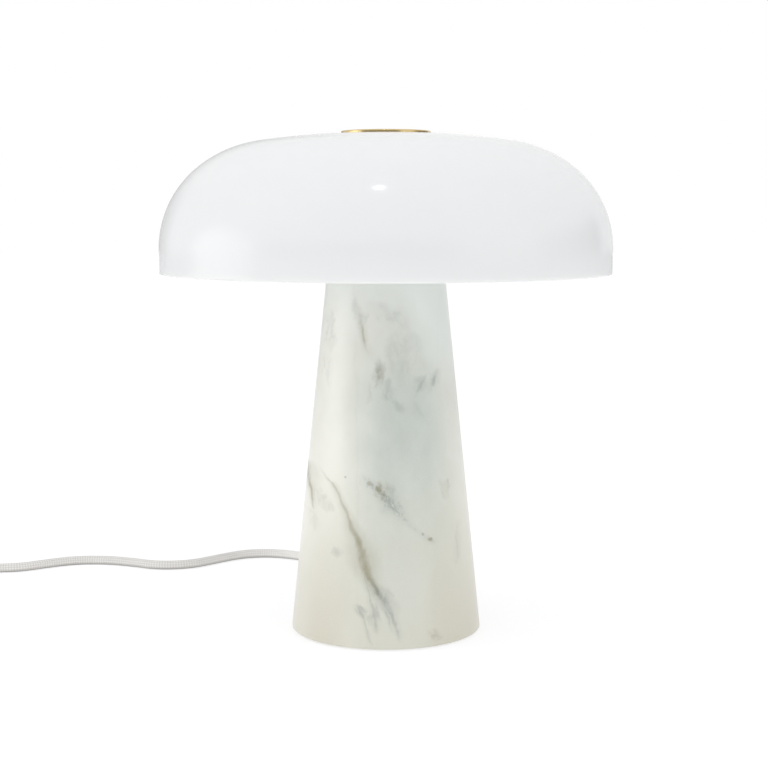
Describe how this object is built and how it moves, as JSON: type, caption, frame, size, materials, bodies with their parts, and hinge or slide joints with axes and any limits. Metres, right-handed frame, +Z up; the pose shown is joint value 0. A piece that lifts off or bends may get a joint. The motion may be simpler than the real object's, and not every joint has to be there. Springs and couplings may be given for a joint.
{
  "type": "table lamp",
  "caption": "Table lamp with a shallow opal glass dome, thin brass cap, tapered marble base and a textile cord with in-line switch and flat plug.",
  "frame": {"origin": "on the table surface, under the middle of the base", "axes": "+Z up along the lamp's axis, the cord leaves the base towards +Y and runs off towards -X"},
  "size_m": [0.6135, 0.3678, 0.3344],
  "materials": {
    "marble": "honed pale marble with grey-green clouds and tan veins",
    "opal_glass": "glossy white opal glass",
    "cap_brass": "polished brass",
    "bare_brass": "plain machined brass",
    "zinc_steel": "zinc-plated steel",
    "white_metal": "white powder coat",
    "nickel": "nickel plate",
    "felt": "dense felt",
    "cord_braid": "fine light-grey woven braid",
    "strap": "woven hook and loop strap",
    "soft_white": "soft white moulding",
    "silicone": "translucent silicone",
    "white_plastic": "moulded white plastic",
    "holder_plastic": "white thermoset",
    "holder_ceramic": "steatite",
    "wire_brown": "brown insulation",
    "wire_blue": "blue insulation",
    "black_glass": "black insulator",
    "board_aluminium": "LED board",
    "bulb_opal": "opal diffuser"
  },
  "bodies": {
    "lamp": {"marble_base": "marble", "base_plate": "zinc_steel", "base_plate_screws": "zinc_steel", "base_plate_inserts": "bare_brass", "felt_pad": "felt", "tie_tube": "zinc_steel", "tie_washer": "zinc_steel", "tie_nut": "zinc_steel", "cord_bush": "soft_white", "inner_cord": "cord_braid", "cord_anchor_block": "holder_plastic", "cord_anchor_bar": "holder_plastic", "cord_anchor_screws": "zinc_steel", "line_wire": "wire_brown", "neutral_wire": "wire_blue", "holder_cap": "holder_plastic", "holder_insert": "holder_ceramic", "terminal_screws": "bare_brass", "holder_sleeve": "holder_plastic", "holder_ring": "holder_plastic", "holder_shell": "bare_brass", "centre_contact": "bare_brass", "carrier_plate": "white_metal", "carrier_posts": "white_metal", "carrier_screws": "zinc_steel", "shade_seat": "white_metal", "seat_stud": "zinc_steel", "seat_gasket": "silicone", "switch_lower": "white_plastic", "switch_upper": "white_plastic", "switch_terminals": "bare_brass", "switch_bushes": "soft_white", "switch_screws": "zinc_steel", "cord_coil": "cord_braid", "cord_lamp_side": "cord_braid", "cord_plug_side": "cord_braid", "cord_tail": "cord_braid", "coil_strap": "strap", "plug_body": "white_plastic", "plug_bush": "soft_white", "plug_pins": "nickel", "plug_pin_sleeves": "white_plastic"},
    "shade": {"glass_shade": "opal_glass"},
    "washer": {"cap_washer": "silicone"},
    "cap": {"brass_cap": "cap_brass"},
    "bulb_foot": {"bulb_tip": "nickel"},
    "bulb": {"bulb_insulator": "black_glass", "bulb_screw_cap": "nickel", "bulb_collar": "white_plastic", "bulb_board": "board_aluminium", "bulb_globe": "bulb_opal"},
    "rocker": {"switch_rocker": "white_plastic", "switch_bridge": "bare_brass"}
  },
  "joints": [
    {"name": "shade_lift", "type": "slide", "parent": "lamp", "child": "shade", "axis": [0, 0, 1], "range_m": [0, 0.11]},
    {"name": "cap_rise", "type": "slide", "parent": "shade", "child": "washer", "axis": [0, 0, 1], "range_m": [0, 0.00501]},
    {"name": "cap_turn", "type": "hinge", "parent": "washer", "child": "cap", "pos_m": [0, 0, 0.333], "axis": [0, 0, 1], "range_deg": [0, 1440]},
    {"name": "bulb_rise", "type": "slide", "parent": "lamp", "child": "bulb_foot", "axis": [0, 0, 1], "range_m": [0, 0.01453]},
    {"name": "bulb_turn", "type": "hinge", "parent": "bulb_foot", "child": "bulb", "pos_m": [0, 0, 0.26], "axis": [0, 0, 1], "range_deg": [0, 1440]},
    {"name": "rocker_tilt", "type": "hinge", "parent": "lamp", "child": "rocker", "pos_m": [-0.352, 0.035, 0.0132], "axis": [-1, 0, 0], "range_deg": [0, 15]}
  ],
  "couplings": [
    {"joint": "cap_rise", "follows": "cap_turn", "m_per_rad": 0.00019894},
    {"joint": "bulb_rise", "follows": "bulb_turn", "m_per_rad": 0.00057757}
  ]
}
